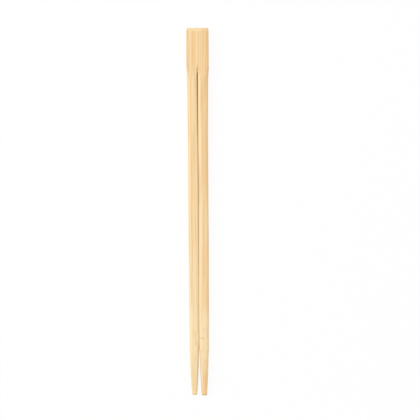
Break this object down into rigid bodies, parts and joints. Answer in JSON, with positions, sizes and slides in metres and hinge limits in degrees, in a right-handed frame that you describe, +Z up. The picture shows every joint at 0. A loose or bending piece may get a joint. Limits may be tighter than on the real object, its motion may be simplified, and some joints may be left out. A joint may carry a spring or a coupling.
{
  "type": "joined disposable chopsticks",
  "caption": "Disposable bamboo chopsticks joined at a flat bevelled head, with a sawn slit, milled round-cornered sticks and blunt tapered tips.",
  "frame": {"origin": "middle of the outline, seen from above, at the level of the surface that the flat back lies on", "axes": "+Z up from that surface through the head's thickness, +Y along the sticks towards the joined head, +X across both sticks"},
  "size_m": [0.0128, 0.21, 0.005],
  "materials": {
    "bamboo": "bare milled bamboo, smooth, with a faint lengthwise fibre grain and a low natural sheen"
  },
  "bodies": {
    "root": {"chopstick_pair": "bamboo"}
  },
  "joints": []
}
